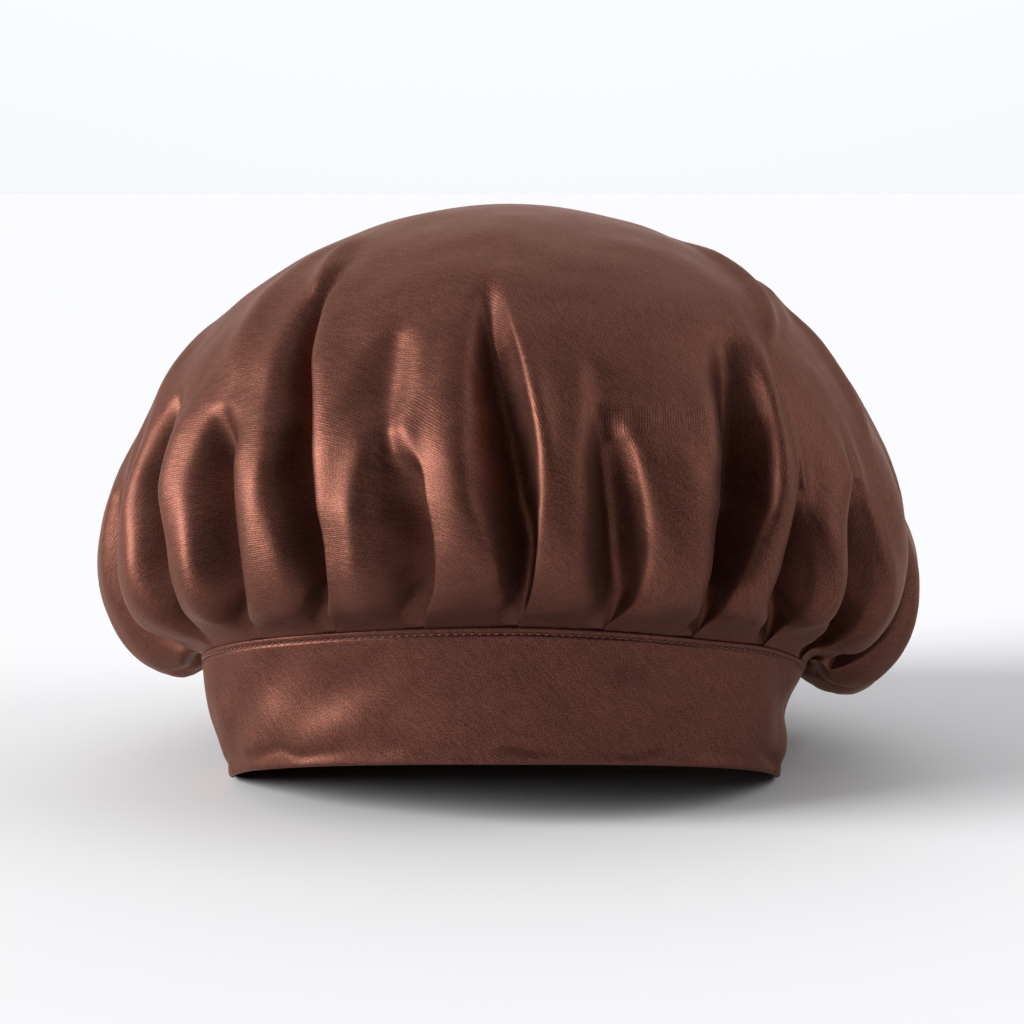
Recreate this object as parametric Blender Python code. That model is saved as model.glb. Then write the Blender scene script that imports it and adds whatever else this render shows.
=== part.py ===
# Sleep bonnet: a full pleated satin crown on a flat band that sits round the head.
# Metres, +Z up, the front of the bonnet faces -Y, and the origin is under the crown's middle on the floor.
# Two pieces: crown (one thin cloth wall) and band (one doubled strip sewn into a ring).

import bpy
import numpy as np

for leftover in list(bpy.data.objects):
    bpy.data.objects.remove(leftover, do_unlink=True)

# Crown, resting
CROWN_WIDTH = 0.2920
CROWN_DEPTH = 0.2720
CROWN_TOP = 0.2050
APEX_BACK = -0.0040
CLOTH = 0.0012
HANG_REACH = 0.0500
ARCH = 0.0034
PUFF = 0.0056

# Band, resting: its front is lifted, and its back half lies on the floor
BAND_HEIGHT = 0.0470
BAND_LIFT = 0.0225
BAND_THICK = 0.0024
BAND_ASIDE = -0.0020
BAND_FORWARD = -0.0420
SEAM_WIDTH = 0.2155
SEAM_FRONT = 0.0730
SEAM_BACK = 0.0660
SEAM_GAP = 0.00042

# Folds
PLEAT_DEPTH = 0.0160
PLEAT_LAP = 0.0060
PLEAT_RIDGE = 0.0048
CREASE_WIDTH = 0.0090
CREASE_DEPTH = 0.0040

# How finely the pieces are made
CROWN_ROWS = (0, .010, .026, .048, .078, .115, .16, .21, .265, .325, .39, .46, .54, .63, .735, .85, .95)
PANEL_PICKS = (1.0, 2.9, 4.7, 6.2, 7.5, 8.7)
BAND_COLUMNS = 132
BAND_LEVELS = (0, .12, .55, 1)
LAP_KEPT = .25    # of the lap: a solid wall can't lie as close over itself as cloth does
RIM_LEVEL = .6    # how far the second row's wall still follows the slope

CROWN_COLOUR = (.145, .052, .040, 1)
BAND_COLOUR = (.120, .045, .036, 1)

# Sections round the bonnet, by angle from the front middle towards +X
SECTIONS = (
    # angle; rise: seam height, of BAND_HEIGHT; belly: height of the widest line, of CROWN_TOP;
    # drop: how far the cloth heads down as it leaves the seam, of BAND_HEIGHT; reach: how far it heads out, of the
    # way to the widest line; hang: sag under the widest line, of HANG_REACH; share: part of the cloth that is below
    # the widest line; spread: the foot's size, of the seam loop; bulge: band's belly, of BAND_HEIGHT
    ("angle", "rise", "belly", "drop", "reach", "hang", "share", "spread", "bulge"),
    (0, .985, .500, -.14, .42, .38, .25, .985, .02),
    (50, .932, .420, -.18, .40, .42, .25, .950, .00),
    (75, .888, .365, -.10, .32, .70, .26, .918, -.03),
    (90, .872, .327, .18, .28, 1.09, .30, .915, -.04),
    (105, .872, .317, .32, .28, 1.24, .33, .920, -.02),
    (135, .890, .310, .20, .30, 1.15, .35, .940, .00),
    (180, .900, .300, .20, .30, 1.15, .37, .960, .00),
    (225, .920, .310, .20, .30, 1.15, .35, .945, .00),
    (255, .945, .335, .34, .28, 1.05, .33, .925, .03),
    (270, .950, .355, .24, .28, .85, .29, .912, .05),
    (285, .952, .385, -.10, .32, .55, .26, .915, .04),
    (310, .965, .420, -.18, .40, .42, .25, .950, .01),
)

# Folds round the crown. Each row is one fold edge, which laps over the hollow on its left as seen from outside.
FOLDS = (
    # seam, low, mid, high: the edge's angle at four heights; then shares of the cloth from the seam to the apex:
    # press, where the pressed edge ends, peak, where the hollow is deepest, and tip, where it ends; depth of
    # PLEAT_DEPTH; wide: hollow's share of the panel; round: 0 for a pointed top, 1 for a round one;
    # ridge of PLEAT_RIDGE; lap of PLEAT_LAP
    ("seam", "low", "mid", "high", "press", "peak", "tip", "depth", "wide", "round", "ridge", "lap"),
    (-84, -68, -72, -84, .16, .20, .34, .50, .50, .5, .40, .7),
    (-67, -51, -57, -68, .30, .33, .50, 1.20, .58, .6, .60, .7),
    (-49, -36.6, -40.2, -54, .34, .34, .47, .95, .60, .8, .50, .6),
    (-31, -24, -27, -41, .44, .50, .72, 1.15, .60, .3, .35, .7),
    (-14, -9.4, -12.2, -17, .34, .25, .42, .85, .66, .6, .05, .7),
    (2.5, 3.3, 3.2, -2, .28, .36, .68, 1.15, .60, .45, .60, .4),
    (17.5, 17.2, 16.6, 13, .10, .25, .46, .86, .70, .6, .80, .4),
    (35.5, 30.2, 37.8, 49, .04, .34, .60, 1.20, .46, .5, 1.2, .5),
    (55, 43.8, 45.5, 64, .06, .21, .35, 1.20, .60, .9, 1.2, .3),
    (75, 58.2, 60.5, 82, .06, .21, .36, 1.20, .60, .9, 1.2, .3),
    (89, 76, 83, 102, .12, .19, .34, .75, .55, .6, .60, .4),
    (104, 94, 104, 120, .20, .22, .44, .70, .55, .6, .50, .7),
    (120, 114, 122, 136, .30, .28, .52, .80, .52, .4, .50, .7),
    (135, 132, 140, 150, .22, .22, .38, .65, .56, .9, .40, .8),
    (150, 150, 156, 164, .30, .30, .56, .85, .50, .3, .50, .7),
    (165, 167, 172, 178, .24, .24, .42, .70, .56, .8, .40, .8),
    (180, 184, 188, 192, .32, .32, .58, .85, .50, .3, .50, .7),
    (195, 202, 205, 206, .22, .22, .38, .70, .56, .9, .40, .8),
    (211, 220, 222, 220, .30, .28, .54, .80, .52, .3, .50, .7),
    (227, 237, 238, 234, .22, .22, .38, .65, .56, .8, .40, .8),
    (243, 254, 253, 248, .26, .26, .48, .75, .52, .5, .50, .7),
    (259, 272, 270, 262, .18, .20, .36, .60, .56, .7, .40, .7),
)
EDGE_SHARES = (0, .2, .4, .72, 1)

# How a fold runs up the cloth, in shares of the cloth from the seam to the apex
PRESS_RUN = .15     # a pressed edge opens to a soft roll over this
SEWN_RUN = .075     # the depth grows to its full size over this, from SEWN_DEPTH of it at the seam
SEWN_DEPTH = .35
OPEN_RUN = .24      # the stations spread out evenly over this, round the tip
DOME_RUN = .25      # a panel puffs up over this, and flattens over DOME_FADE
DOME_FADE = .26
LEVEL_RUN = .05     # folds move level with the floor up to here
ARCH_RUN = .06      # the low arch's own length

# The form of a hollow and of its edge
LEAN = 1.0          # how much a pointed hollow is deepest next to its edge: 0 for the middle
HOLLOW_START = .40  # of the hollow's width, at the seam: it is full at the peak
POINT_NARROW = .35  # how much a pointed top and a round one narrow
ROUND_NARROW = .70
LEAST_DEPTH = .12   # of the depth, at the seam
DEPTH_CURVE = 2.1   # over 1 deepens quickly above the seam
OPEN_START = .3     # of OPEN_RUN, below the tip
RIDGE_START = .1    # of the way to the peak
RIDGE_TAIL = 1.25   # of the way from the peak to the tip

# The crown's top, the band's lift and the creases
DOME_CURVE = 1.03   # over 1 makes the top a little flatter
LIFT_BLEND = .10    # how softly the lifted half starts
CREASE_STEPS = 16
CREASE_ENDS = .45   # of a crease's width, at its two ends
CREASE_CURVE = .7   # under 1 keeps its depth nearly to the ends

# The section across one panel, from one fold edge round to under the next
STATIONS = (
    # end: 0 measures from this edge over the flat part, 1 back from the next edge over its hollow; part: of that
    # width, for a soft roll and for a pressed edge; then the shares of lap, depth and ridge there
    ("end", "part", "pressed_part", "lap", "depth", "pressed_depth", "ridge"),
    (0, .00, .00, .00, .00, .00, .66),
    (0, .25, .06, .00, .00, .00, 1.0),
    (0, .50, .30, .00, .00, .00, .86),
    (0, .78, .72, .00, .00, .00, .40),
    (1, 1.0, 1.0, .00, .03, .03, .00),
    (1, .84, .82, .00, .22, .22, .00),
    (1, .68, .60, .00, .60, .60, .00),
    (1, .50, .34, .15, 1.0, .90, .00),
    (1, .31, .10, .60, .84, 1.0, .05),
    (1, .15, .00, 1.0, .44, .80, .20),
    (1, .00, .00, .30, .14, .04, .30),
)

# Soft creases that run on over the crown. A negative depth is a raised crease.
CREASES = (
    # from_angle, from_share, to_angle, to_share; wide of CREASE_WIDTH; depth of CREASE_DEPTH
    ("from_angle", "from_share", "to_angle", "to_share", "wide", "depth"),
    (-16.5, .38, -19, .58, 1.0, 1.0),
    (14.5, .40, 12.5, .52, .80, .62),
    (28, .36, 30, .52, .90, -.50),
    (-37.5, .62, -60, .80, .55, -.75),
    (-46, .48, -70, .78, .80, -.50),
    (50, .56, 86, .80, .55, -.95),
    (58, .58, 100, .76, .50, -.50),
    (66, .42, 78, .66, .65, -.62),
    (-66, .42, -84, .62, .80, -.50),
    (-98, .30, -84, .52, 1.5, 1.5),
    (82, .36, 98, .52, 1.5, .70),
)


def column(table, name):
    return np.array([row[table[0].index(name)] for row in table[1:]], float)


def smooth(x):
    x = np.clip(x, 0, 1)
    return x * x * (3 - 2 * x)


def by_angle(phi, name):
    angles = column(SECTIONS, "angle")
    values = column(SECTIONS, name)
    angles = np.append(angles, angles[0] + 360)
    values = np.append(values, values[0])
    turn = np.degrees(phi) % 360
    i = np.clip(np.searchsorted(angles, turn, side="right") - 1, 0, len(angles) - 2)
    t = smooth((turn - angles[i]) / (angles[i + 1] - angles[i]))
    return values[i] * (1 - t) + values[i + 1] * t


def lifted(phi):
    # Nothing over the back half, then rising evenly to the front middle
    c = np.cos(phi)
    k = LIFT_BLEND
    return BAND_LIFT * np.where(c < -k, 0, np.where(c > k, c, (c + k) ** 2 / (4 * k)))


def seam_loop(phi):
    c = np.cos(phi)
    deep = np.where(c > 0, SEAM_FRONT, SEAM_BACK)
    x = BAND_ASIDE + SEAM_WIDTH / 2 * np.sin(phi)
    z = lifted(phi) + BAND_HEIGHT * by_angle(phi, "rise")
    return np.stack([x, BAND_FORWARD - deep * c, z], -1)


def crown_form(phi, v):
    # The crown without its folds: v is 0 at the seam and 1 at the apex
    phi, v = np.broadcast_arrays(np.asarray(phi, float), np.asarray(v, float))
    start = seam_loop(phi)
    start[..., 2] += SEAM_GAP
    wide_x = CROWN_WIDTH / 2 * np.sin(phi)
    wide_y = -CROWN_DEPTH / 2 * np.cos(phi)
    wide = np.stack([wide_x, wide_y, CROWN_TOP * by_angle(phi, "belly")], -1)
    apex = np.array([0, APEX_BACK, CROWN_TOP])
    share = by_angle(phi, "share")
    leave = start + (wide - start) * by_angle(phi, "reach")[..., None]
    leave[..., 2] = start[..., 2] - BAND_HEIGHT * by_angle(phi, "drop")
    below = wide.copy()
    below[..., 2] -= by_angle(phi, "hang") * HANG_REACH
    t = np.clip(v / share, 0, 1)[..., None]
    lower = (1 - t) ** 3 * start + 3 * (1 - t) ** 2 * t * leave + 3 * (1 - t) * t * t * below + t ** 3 * wide
    # A low arch lifts the hanging part clear of the band as it leaves the seam
    x = np.clip(v / ARCH_RUN, 0, 1)
    hanging = smooth((by_angle(phi, "hang") - .5) / .5)
    lower[..., 2] += ARCH * hanging * 4 * x * (1 - x)
    turn = np.clip((v - share) / (1 - share), 0, 1) * np.pi / 2
    upper = apex + (wide - apex) * (np.clip(np.cos(turn), 0, 1) ** DOME_CURVE)[..., None]
    upper[..., 2] = wide[..., 2] + (apex[2] - wide[..., 2]) * np.sin(turn)
    return np.where((v < share)[..., None], lower, upper)


def fold_edges(v):
    # Each fold edge's angle at every height, as a smooth curve through the table's angles
    knots = np.array(EDGE_SHARES, float)
    names = ("seam", "low", "mid", "high", "high")
    values = np.stack([column(FOLDS, name) for name in names], 1)
    step = np.diff(knots)
    slope = np.diff(values, axis=1) / step
    lean = np.zeros_like(values)
    lean[:, 0] = slope[:, 0]
    lean[:, 1:-1] = (slope[:, :-1] * step[1:] + slope[:, 1:] * step[:-1]) / (step[1:] + step[:-1])
    i = np.clip(np.searchsorted(knots, v, side="right") - 1, 0, len(knots) - 2)
    t = (v - knots[i]) / step[i]
    ends = (2 * t ** 3 - 3 * t ** 2 + 1) * values[:, i] + (3 * t ** 2 - 2 * t ** 3) * values[:, i + 1]
    leans = (t ** 3 - 2 * t ** 2 + t) * lean[:, i] + (t ** 3 - t ** 2) * lean[:, i + 1]
    return ends + leans * step[i]


def crease_heights(phi, v):
    point = crown_form(phi, v)
    total = np.zeros(phi.shape)
    for row in CREASES[1:]:
        angle_a, share_a, angle_b, share_b, wide, depth = row
        s = np.linspace(0, 1, CREASE_STEPS + 1)
        line = crown_form(np.radians(angle_a + (angle_b - angle_a) * s), share_a + (share_b - share_a) * s)
        nearest = np.full(phi.shape, 1e9)
        along = np.zeros(phi.shape)
        for k in range(len(s) - 1):
            step = line[k + 1] - line[k]
            t = np.clip(((point - line[k]) @ step) / (step @ step), 0, 1)
            gap = np.linalg.norm(point - line[k] - t[..., None] * step, axis=-1)
            along = np.where(gap < nearest, (k + t) / (len(s) - 1), along)
            nearest = np.minimum(gap, nearest)
        fade = np.sin(np.pi * np.clip(along, .02, .98))
        width = CREASE_WIDTH * wide * (CREASE_ENDS + (1 - CREASE_ENDS) * fade)
        total -= CREASE_DEPTH * depth * fade ** CREASE_CURVE * np.exp(-(nearest / width) ** 2)
    return total


def crown_sheet(rows, picks, lap_share):
    # A grid of points (columns round the crown, rows from the seam up) on the outside of the folded cloth
    v = np.asarray(rows, float)
    edge = fold_edges(v)
    following = np.roll(edge, -1, axis=0)
    following[-1] += 360
    pitch = following - edge
    fold = {name: column(FOLDS, name)[:, None] for name in FOLDS[0]}
    after = {name: np.roll(values, -1, axis=0) for name, values in fold.items()}

    def ridge_of(f):
        grow = smooth((v / f["peak"] - RIDGE_START) / (1 - RIDGE_START))
        fade = 1 - smooth((v - f["peak"]) / (f["tip"] - f["peak"]) / RIDGE_TAIL)
        return PLEAT_RIDGE * f["ridge"] * grow * fade

    def pressed_of(f):
        return 1 - smooth((v - f["press"]) / PRESS_RUN + .5)

    # Over its top a hollow narrows: to a point under its edge, or to the middle of its own round top
    over = np.clip((v - after["peak"]) / (after["tip"] - after["peak"]), 0, 1)
    narrow = 1 - over ** 2 * POINT_NARROW * (1 - after["round"])
    narrow = narrow - (1 - np.sqrt(1 - over ** 2)) * ROUND_NARROW * after["round"]
    fade = (1 - smooth(over)) * (1 - after["round"]) + (1 - over ** 4) ** 1.5 * after["round"]
    rise = np.clip(v / after["peak"], 0, 1)
    sewn = SEWN_DEPTH + (1 - SEWN_DEPTH) * smooth(v / SEWN_RUN)
    deepening = LEAST_DEPTH + (1 - LEAST_DEPTH) * (1 - (1 - rise) ** DEPTH_CURVE)
    deep = PLEAT_DEPTH * after["depth"] * sewn * deepening * fade
    past = (v - after["press"]) / (after["tip"] - after["press"])
    tuck = PLEAT_LAP * after["lap"] * lap_share * (1 + smooth(v / SEWN_RUN)) / 2 * (1 - smooth(past * 2))
    hollow = after["wide"] * (HOLLOW_START + (1 - HOLLOW_START) * smooth(v / after["peak"]))
    centre = .5 * after["round"]
    opening = smooth((v - after["tip"]) / OPEN_RUN + OPEN_START)
    opened = np.roll(opening, 1, axis=0)
    doming = PUFF * smooth(v / DOME_RUN) * (1 - smooth((v - DOME_RUN) / DOME_FADE))
    count = len(STATIONS) - 1
    turns, tucks, heights = [], [], []
    for k, (end, part, pressed_part, lap, depth, pressed_depth, ridge) in enumerate(STATIONS[1:]):
        # Where a fold has faded, its stations spread evenly over the panel
        if end == 0:
            pressed = pressed_of(fold)
            crest = ridge_of(fold)
            place = (1 - hollow) * (part + (pressed_part - part) * pressed)
            place = place * (1 - opened) + k / count * opened
        else:
            pressed = pressed_of(after)
            crest = ridge_of(after)
            part = part ** (1 + LEAN * (1 - after["round"]) * (1 - over))
            part = part + (pressed_part - part) * pressed
            place = 1 - hollow * (centre + (part - centre) * narrow)
            place = place * (1 - opening) + k / count * opening
        sunk = depth + (pressed_depth - depth) * pressed
        turns.append(edge + pitch * place)
        tucks.append(tuck * lap)
        heights.append(crest * ridge - deep * sunk + doming * np.sin(np.pi * place) * (1 - sunk))

    def round_the_crown(parts, whole_turn):
        # A closed smooth curve pulled towards the stations, read at the picked places in every panel
        values = np.stack(parts, 1).reshape(-1, len(v))
        values = np.concatenate([values[-1:] - whole_turn, values, values[:3] + whole_turn])
        found = []
        for panel in range(len(FOLDS) - 1):
            for pick in picks:
                k = int(pick)
                s = pick - k
                k += panel * count
                weights = ((1 - s) ** 3, 3 * s ** 3 - 6 * s ** 2 + 4, 3 * s + 3 * s ** 2 - 3 * s ** 3 + 1, s ** 3)
                found.append(sum(w / 6 * values[k + j] for j, w in enumerate(weights)))
        return np.stack(found)

    phi = np.radians(round_the_crown(turns, 360))
    tuck = round_the_crown(tucks, 0)
    height = round_the_crown(heights, 0)
    share = np.broadcast_to(v, phi.shape)
    point = crown_form(phi, share)
    small = 1e-3
    round_way = crown_form(phi + small, share) - crown_form(phi - small, share)
    up_way = crown_form(phi, np.clip(share + small, 0, 1)) - crown_form(phi, np.clip(share - small, 0, 1))
    outward = np.cross(round_way, up_way)
    outward /= np.linalg.norm(outward, axis=-1, keepdims=True)
    round_way /= np.linalg.norm(round_way, axis=-1, keepdims=True)
    # At the seam the folds lie flat, so there they move level with the floor instead of along the slope
    level = outward * (1, 1, 0)
    level /= np.linalg.norm(level, axis=-1, keepdims=True)
    blend = smooth(share / LEVEL_RUN)[..., None]
    outward = level * (1 - blend) + outward * blend
    outward /= np.linalg.norm(outward, axis=-1, keepdims=True)
    height = height + crease_heights(phi, share)
    return point + outward * height[..., None] + round_way * tuck[..., None]


def grid_normals(grid, pole):
    # Outward directions at the points of a grid that is closed round the first axis
    around = np.roll(grid, -1, axis=0) - np.roll(grid, 1, axis=0)
    capped = np.concatenate([grid, np.broadcast_to(pole, grid[:, :1].shape)], 1)
    upward = np.empty_like(grid)
    upward[:, 0] = capped[:, 1] - capped[:, 0]
    upward[:, 1:] = capped[:, 2:] - capped[:, :-2]
    normal = np.cross(around, upward)
    return normal / np.linalg.norm(normal, axis=-1, keepdims=True)


def add_piece(name, points, faces, colour):
    mesh = bpy.data.meshes.new(name)
    mesh.from_pydata(points.tolist(), [], faces)
    mesh.update()
    mesh.shade_smooth()
    satin = bpy.data.materials.new(name + "_satin")
    satin.use_nodes = True
    shader = satin.node_tree.nodes["Principled BSDF"]
    shader.inputs["Base Color"].default_value = colour
    shader.inputs["Roughness"].default_value = .42
    shader.inputs["Sheen Weight"].default_value = .3
    mesh.materials.append(satin)
    piece = bpy.data.objects.new(name, mesh)
    bpy.context.scene.collection.objects.link(piece)


def crown_solid():
    outer = crown_sheet(CROWN_ROWS, PANEL_PICKS, LAP_KEPT)
    apex = np.array([0, APEX_BACK, CROWN_TOP])
    normal = grid_normals(outer, apex)
    # The rim is offset level with the floor, so that it ends flat above the band
    normal[:, 0] *= (1, 1, 0)
    normal[:, 1] *= (1, 1, RIM_LEVEL)
    normal /= np.linalg.norm(normal, axis=-1, keepdims=True)
    inner = outer - normal * CLOTH
    columns, rows, _ = outer.shape
    total = columns * rows
    points = np.concatenate([outer.reshape(-1, 3), inner.reshape(-1, 3), [apex, apex - (0, 0, CLOTH)]])
    faces = []
    for i in range(columns):
        j = (i + 1) % columns
        for k in range(rows - 1):
            a, b, c, d = i * rows + k, j * rows + k, j * rows + k + 1, i * rows + k + 1
            # Both walls are split along the same diagonal, so that they stay apart
            for one, two, three in ((a, b, c), (a, c, d)):
                faces.append((one, two, three))
                faces.append((total + three, total + two, total + one))
        faces.append((i * rows + rows - 1, j * rows + rows - 1, 2 * total))
        faces.append((total + j * rows + rows - 1, total + i * rows + rows - 1, 2 * total + 1))
        faces.append((j * rows, i * rows, total + i * rows, total + j * rows))
    return points, faces


def band_side(phi, level, inward):
    # A point of the band: level is 0 at the foot and 1 at the seam
    top = seam_loop(phi)
    middle = np.array([BAND_ASIDE, BAND_FORWARD, 0])
    foot = middle + (top - middle) * by_angle(phi, "spread")[..., None]
    foot[..., 2] = lifted(phi)
    point = foot * (1 - level) + top * level
    c, s = np.cos(phi), np.sin(phi)
    deep = np.where(c > 0, SEAM_FRONT, SEAM_BACK)
    away = np.stack([s / (SEAM_WIDTH / 2), -c / deep, 0 * c], -1)
    away /= np.linalg.norm(away, axis=-1, keepdims=True)
    bulge = BAND_HEIGHT * by_angle(phi, "bulge") * np.sin(np.pi * level)
    return point + away * (bulge - inward)[..., None]


def band_solid():
    phi = np.arange(BAND_COLUMNS) * 2 * np.pi / BAND_COLUMNS
    rings = [band_side(phi, level, 0 * phi) for level in BAND_LEVELS]
    rings += [band_side(phi, level, BAND_THICK + 0 * phi) for level in BAND_LEVELS[::-1]]
    grid = np.stack(rings, 1)
    columns, rows, _ = grid.shape
    faces = []
    for i in range(columns):
        j = (i + 1) % columns
        for k in range(rows):
            m = (k + 1) % rows
            faces.append((i * rows + k, j * rows + k, j * rows + m, i * rows + m))
    return grid.reshape(-1, 3), faces


crown_points, crown_faces = crown_solid()
band_points, band_faces = band_solid()
every_point = np.concatenate([crown_points, band_points])
box_middle = (every_point.min(0) + every_point.max(0)) / 2 * (1, 1, 0)
add_piece("crown", crown_points - box_middle, crown_faces, CROWN_COLOUR)
add_piece("band", band_points - box_middle, band_faces, BAND_COLOUR)
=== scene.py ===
import math

import bpy
import numpy as np
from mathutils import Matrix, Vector


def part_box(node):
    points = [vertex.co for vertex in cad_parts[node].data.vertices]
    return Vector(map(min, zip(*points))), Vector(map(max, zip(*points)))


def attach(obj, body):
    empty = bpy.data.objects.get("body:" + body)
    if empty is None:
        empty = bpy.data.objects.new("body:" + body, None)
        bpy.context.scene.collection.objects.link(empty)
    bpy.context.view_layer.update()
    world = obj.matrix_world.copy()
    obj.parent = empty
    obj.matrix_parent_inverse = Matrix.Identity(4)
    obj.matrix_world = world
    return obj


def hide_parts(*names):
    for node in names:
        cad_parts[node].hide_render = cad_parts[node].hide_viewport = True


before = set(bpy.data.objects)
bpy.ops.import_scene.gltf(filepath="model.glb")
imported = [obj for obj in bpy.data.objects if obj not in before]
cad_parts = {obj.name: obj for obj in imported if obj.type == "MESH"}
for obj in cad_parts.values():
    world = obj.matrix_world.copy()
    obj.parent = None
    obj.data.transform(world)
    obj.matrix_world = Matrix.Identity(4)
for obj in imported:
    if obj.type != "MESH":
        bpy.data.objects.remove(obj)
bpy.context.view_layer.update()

# Crown, resting
CROWN_WIDTH = 0.2920
CROWN_DEPTH = 0.2720
CROWN_TOP = 0.2050
APEX_BACK = -0.0040
HANG_REACH = 0.0500
ARCH = 0.0034
PUFF = 0.0056

# Band, resting: its front is lifted, and its back half lies on the floor
BAND_HEIGHT = 0.0470
BAND_LIFT = 0.0225
BAND_THICK = 0.0024
BAND_ASIDE = -0.0020
BAND_FORWARD = -0.0420
SEAM_WIDTH = 0.2155
SEAM_FRONT = 0.0730
SEAM_BACK = 0.0660
SEAM_GAP = 0.00042

# Folds
PLEAT_DEPTH = 0.0160
PLEAT_LAP = 0.0060
PLEAT_RIDGE = 0.0048
CREASE_WIDTH = 0.0090
CREASE_DEPTH = 0.0040

# Sections round the bonnet, by angle from the front middle towards +X
SECTIONS = (
    # angle; rise: seam height, of BAND_HEIGHT; belly: height of the widest line, of CROWN_TOP;
    # drop: how far the cloth heads down as it leaves the seam, of BAND_HEIGHT;
    # reach: how far it heads out, of the way to the widest line; hang: sag under that line, of HANG_REACH;
    # share: part of the cloth that is below the widest line; spread: the foot's size, of the seam loop;
    # bulge: band's belly, of BAND_HEIGHT
    ("angle", "rise", "belly", "drop", "reach", "hang", "share", "spread", "bulge"),
    (0, .985, .500, -.14, .42, .38, .25, .985, .02),
    (50, .932, .420, -.18, .40, .42, .25, .950, .00),
    (75, .888, .365, -.10, .32, .70, .26, .918, -.03),
    (90, .872, .327, .18, .28, 1.09, .30, .915, -.04),
    (105, .872, .317, .32, .28, 1.24, .33, .920, -.02),
    (135, .890, .310, .20, .30, 1.15, .35, .940, .00),
    (180, .900, .300, .20, .30, 1.15, .37, .960, .00),
    (225, .920, .310, .20, .30, 1.15, .35, .945, .00),
    (255, .945, .335, .34, .28, 1.05, .33, .925, .03),
    (270, .950, .355, .24, .28, .85, .29, .912, .05),
    (285, .952, .385, -.10, .32, .55, .26, .915, .04),
    (310, .965, .420, -.18, .40, .42, .25, .950, .01),
)

# Folds round the crown. Each row is one fold edge, which laps over the hollow on its left, seen from outside.
FOLDS = (
    # seam, low, mid, high: the edge's angle at four heights
    # press, peak, tip: where the pressed edge ends, where the hollow is deepest and where it ends, in shares of
    # the cloth from the seam to the apex
    # depth: of PLEAT_DEPTH; wide: hollow's share of the panel; round: 0 for a pointed top, 1 for a round one;
    # ridge: of PLEAT_RIDGE; lap: of PLEAT_LAP
    ("seam", "low", "mid", "high", "press", "peak", "tip", "depth", "wide", "round", "ridge", "lap"),
    (-84, -68, -72, -84, .16, .20, .34, .50, .50, .5, .40, .7),
    (-67, -51, -57, -68, .30, .33, .50, 1.20, .58, .6, .60, .7),
    (-49, -36.6, -40.2, -54, .34, .34, .47, .95, .60, .8, .50, .6),
    (-31, -24, -27, -41, .44, .50, .72, 1.15, .60, .3, .35, .7),
    (-14, -9.4, -12.2, -17, .34, .25, .42, .85, .66, .6, .05, .7),
    (2.5, 3.3, 3.2, -2, .28, .36, .68, 1.15, .60, .45, .60, .4),
    (17.5, 17.2, 16.6, 13, .10, .25, .46, .86, .70, .6, .80, .4),
    (35.5, 30.2, 37.8, 49, .04, .34, .60, 1.20, .46, .5, 1.2, .5),
    (55, 43.8, 45.5, 64, .06, .21, .35, 1.20, .60, .9, 1.2, .3),
    (75, 58.2, 60.5, 82, .06, .21, .36, 1.20, .60, .9, 1.2, .3),
    (89, 76, 83, 102, .12, .19, .34, .75, .55, .6, .60, .4),
    (104, 94, 104, 120, .20, .22, .44, .70, .55, .6, .50, .7),
    (120, 114, 122, 136, .30, .28, .52, .80, .52, .4, .50, .7),
    (135, 132, 140, 150, .22, .22, .38, .65, .56, .9, .40, .8),
    (150, 150, 156, 164, .30, .30, .56, .85, .50, .3, .50, .7),
    (165, 167, 172, 178, .24, .24, .42, .70, .56, .8, .40, .8),
    (180, 184, 188, 192, .32, .32, .58, .85, .50, .3, .50, .7),
    (195, 202, 205, 206, .22, .22, .38, .70, .56, .9, .40, .8),
    (211, 220, 222, 220, .30, .28, .54, .80, .52, .3, .50, .7),
    (227, 237, 238, 234, .22, .22, .38, .65, .56, .8, .40, .8),
    (243, 254, 253, 248, .26, .26, .48, .75, .52, .5, .50, .7),
    (259, 272, 270, 262, .18, .20, .36, .60, .56, .7, .40, .7),
)
EDGE_SHARES = (0, .2, .4, .72, 1)

# How a fold runs up the cloth, in shares of the cloth from the seam to the apex
PRESS_RUN = .15     # a pressed edge opens to a soft roll over this
SEWN_RUN = .075     # the depth grows to its full size over this, from SEWN_DEPTH of it at the seam
SEWN_DEPTH = .35
OPEN_RUN = .24      # the stations spread out evenly over this, round the tip
DOME_RUN = .25      # a panel puffs up over this, and flattens over DOME_FADE
DOME_FADE = .26
LEVEL_RUN = .05     # folds move level with the floor up to here
ARCH_RUN = .06      # the low arch's own length

# The form of a hollow and of its edge
LEAN = 1.0          # how much a pointed hollow is deepest next to its edge: 0 for the middle
HOLLOW_START = .40  # of the hollow's width, at the seam: it is full at the peak
POINT_NARROW = .35  # how much a pointed top and a round one narrow
ROUND_NARROW = .70
LEAST_DEPTH = .12   # of the depth, at the seam
DEPTH_CURVE = 2.1   # over 1 deepens quickly above the seam
OPEN_START = .3     # of OPEN_RUN, below the tip
RIDGE_START = .1    # of the way to the peak
RIDGE_TAIL = 1.25   # of the way from the peak to the tip

# The crown's top, the band's lift and the creases
DOME_CURVE = 1.03   # over 1 makes the top a little flatter
LIFT_BLEND = .10    # how softly the lifted half starts
CREASE_STEPS = 16
CREASE_ENDS = .45   # of a crease's width, at its two ends
CREASE_CURVE = .7   # under 1 keeps its depth nearly to the ends

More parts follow.
